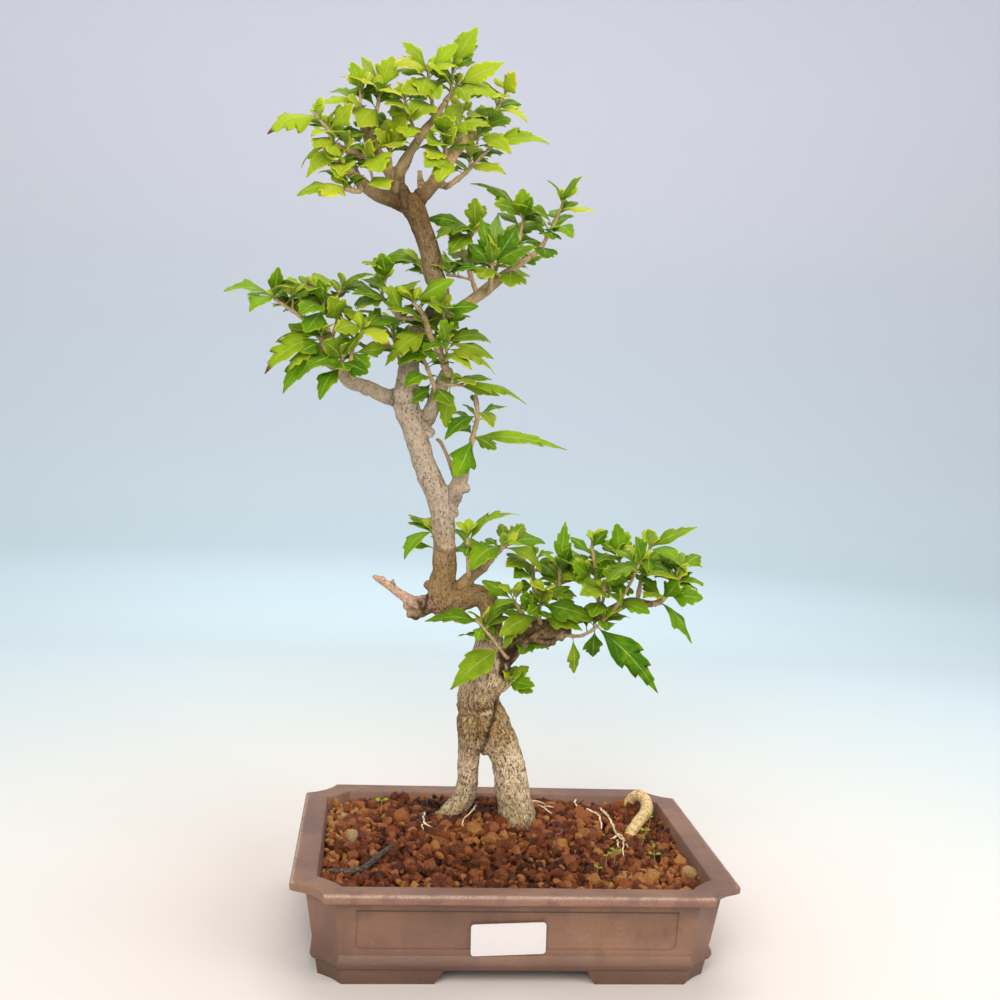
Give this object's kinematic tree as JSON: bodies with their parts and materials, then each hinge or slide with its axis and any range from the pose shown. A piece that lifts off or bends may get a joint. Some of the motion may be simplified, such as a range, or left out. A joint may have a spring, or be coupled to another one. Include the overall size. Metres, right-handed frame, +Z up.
{
  "type": "bonsai tree in a pot",
  "caption": "Slender rose of sharon bonsai on two legs, with a bare winding trunk and tufts of small lobed leaves, in a low rectangular clay pot of granular soil.",
  "frame": {"origin": "middle of the object's footprint box on the surface the pot stands on", "axes": "+Z up along the tree, -Y towards the viewer's side of the pot with the label, +X to the right along the pot's long side"},
  "size_m": [0.3402, 0.224, 0.6121],
  "materials": {
    "clay": "unglazed purplish-brown clay, matt, finely speckled",
    "label": "blank satin sticker",
    "drain_mesh": "dark moulded plastic net",
    "soil": "damp granules of baked clay",
    "bark": "rough grey-tan bark",
    "root": "smooth tan root bark",
    "dead_wood": "dark dry twig",
    "foliage": "fresh leaves with a slight sheen on grey-brown twigs"
  },
  "bodies": {
    "root": {"pot": "clay", "label": "label", "drain_mesh_left": "drain_mesh", "drain_mesh_right": "drain_mesh", "soil_bed": "soil", "trunk": "bark", "root_arch": "root", "fallen_twig": "dead_wood", "crown_top": "foliage", "crown_mid": "foliage", "crown_left_top": "foliage", "crown_left_tip": "foliage", "crown_left_stub": "foliage", "crown_thin_twig": "foliage", "crown_low_stub": "foliage", "crown_inner": "foliage", "crown_dark_twig": "foliage", "crown_right_tip": "foliage", "crown_centre": "foliage", "crown_right_shoot": "foliage", "right_tip": "foliage", "right_upright": "foliage", "right_front": "foliage", "right_back_left": "foliage", "left_tip": "foliage", "left_brown_tips": "foliage", "left_yellow": "foliage", "left_front": "foliage", "left_long_leaves": "foliage", "left_trunk_side": "foliage", "trunk_back_leaf": "foliage", "centre_cluster": "foliage", "centre_stub": "foliage", "centre_long_leaves": "foliage", "upright_cut_shoot": "foliage", "low_right_shoot": "foliage", "low_upright": "foliage", "behind_trunk": "foliage", "pad_tip": "foliage", "pad_right_back": "foliage", "pad_front_twig": "foliage", "pad_top": "foliage", "pad_top_right": "foliage", "pad_left_back": "foliage", "pad_left_upright": "foliage", "pad_front": "foliage", "pad_left_stub": "foliage", "pad_hanging": "foliage", "pad_middle": "foliage", "front_left_shoot": "foliage", "knee_shoot": "foliage", "back_crown_left": "foliage", "back_crown_mid": "foliage", "back_crown_right": "foliage", "back_left": "foliage", "back_right": "foliage", "back_centre": "foliage"}
  },
  "joints": []
}
